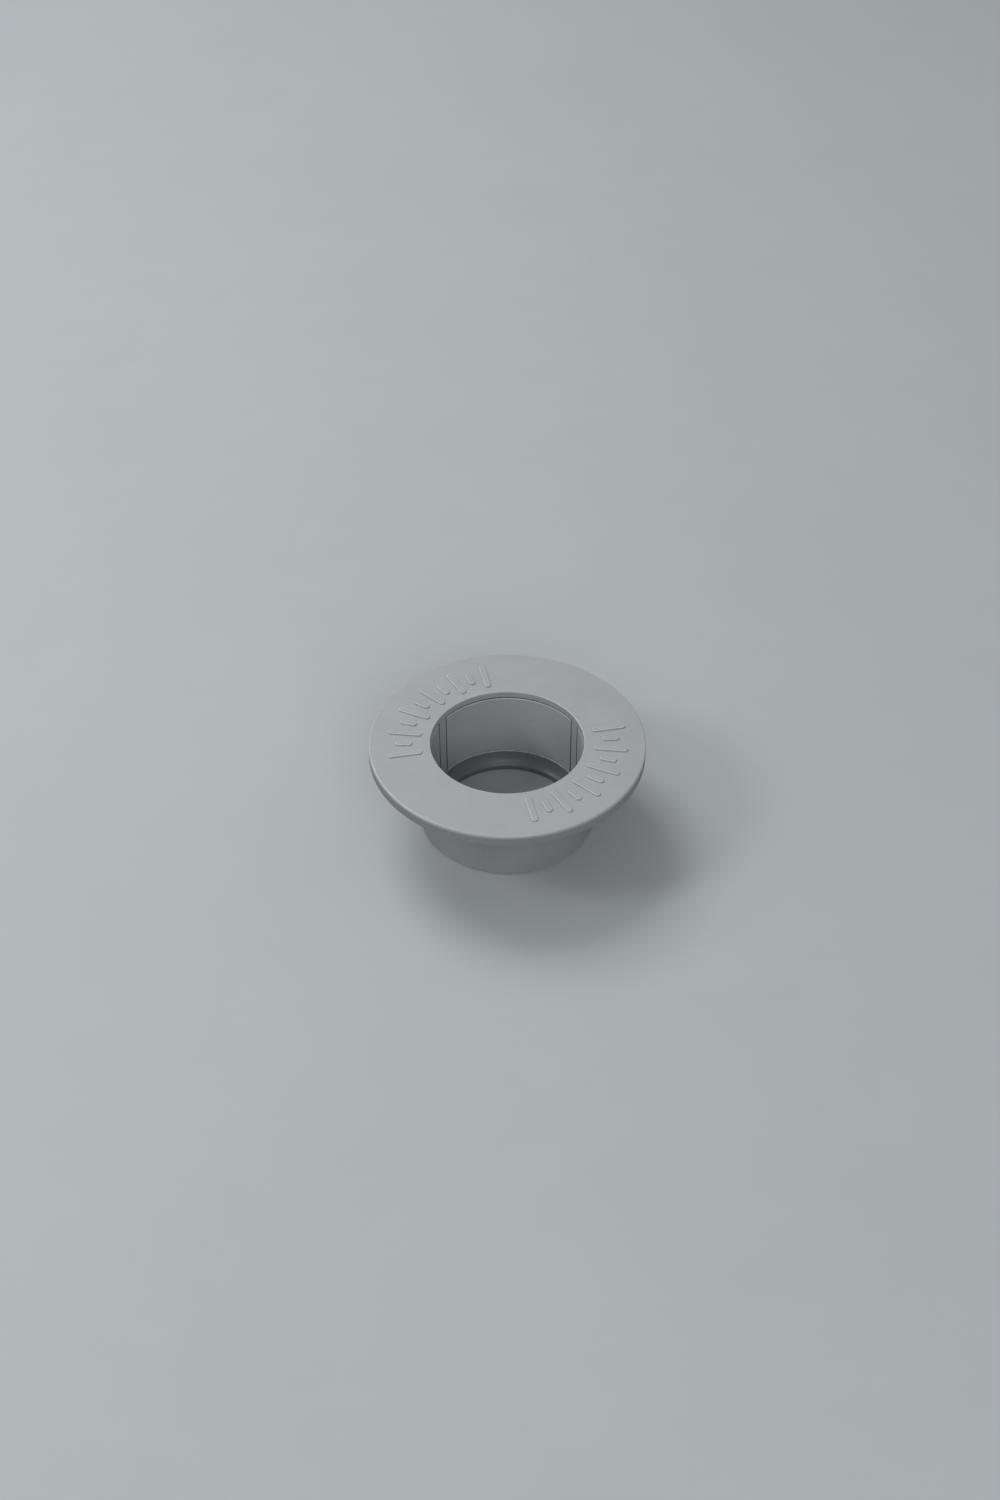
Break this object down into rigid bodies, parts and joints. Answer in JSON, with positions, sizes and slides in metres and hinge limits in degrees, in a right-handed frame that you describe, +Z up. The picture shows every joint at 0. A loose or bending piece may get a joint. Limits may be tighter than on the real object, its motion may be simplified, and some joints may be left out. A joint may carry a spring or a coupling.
{
  "type": "parasol hole insert",
  "caption": "Flanged parasol hole insert for a garden tabletop, with a lift-off cover ring, a lined bore and a funnelled collar that guides the pole.",
  "frame": {"origin": "on the bore axis at the foot of the sleeve, the lowest point of the part", "axes": "+Z up along the bore, out of the tabletop; +Y towards the middle of the back wall panel; +X to the right"},
  "size_m": [0.1, 0.1, 0.0365],
  "materials": {
    "cover_plastic": "fine satin moulded grey, light wear on the rim and the raised rays",
    "sleeve_plastic": "moulded grey with a slightly coarser grain",
    "panel_plastic": "smooth moulded grey, lightly rubbed by the pole",
    "collar_plastic": "smooth darker grey, rubbed on the land",
    "gasket_rubber": "matt closed-cell rubber",
    "grip_rubber": "soft satin rubber",
    "screw_steel": "plain stainless, turned head"
  },
  "bodies": {
    "base": {"base_sleeve": "sleeve_plastic", "wall_panel_back": "panel_plastic", "wall_panel_left": "panel_plastic", "wall_panel_right": "panel_plastic", "guide_collar": "collar_plastic", "flange_gasket": "gasket_rubber", "cover_grip_ring": "grip_rubber", "fixing_screws": "screw_steel"},
    "cover": {"cover_ring": "cover_plastic"}
  },
  "joints": [
    {"name": "cover_lift", "type": "slide", "parent": "base", "child": "cover", "axis": [0, 0, 1], "range_m": [0, 0.03]}
  ]
}
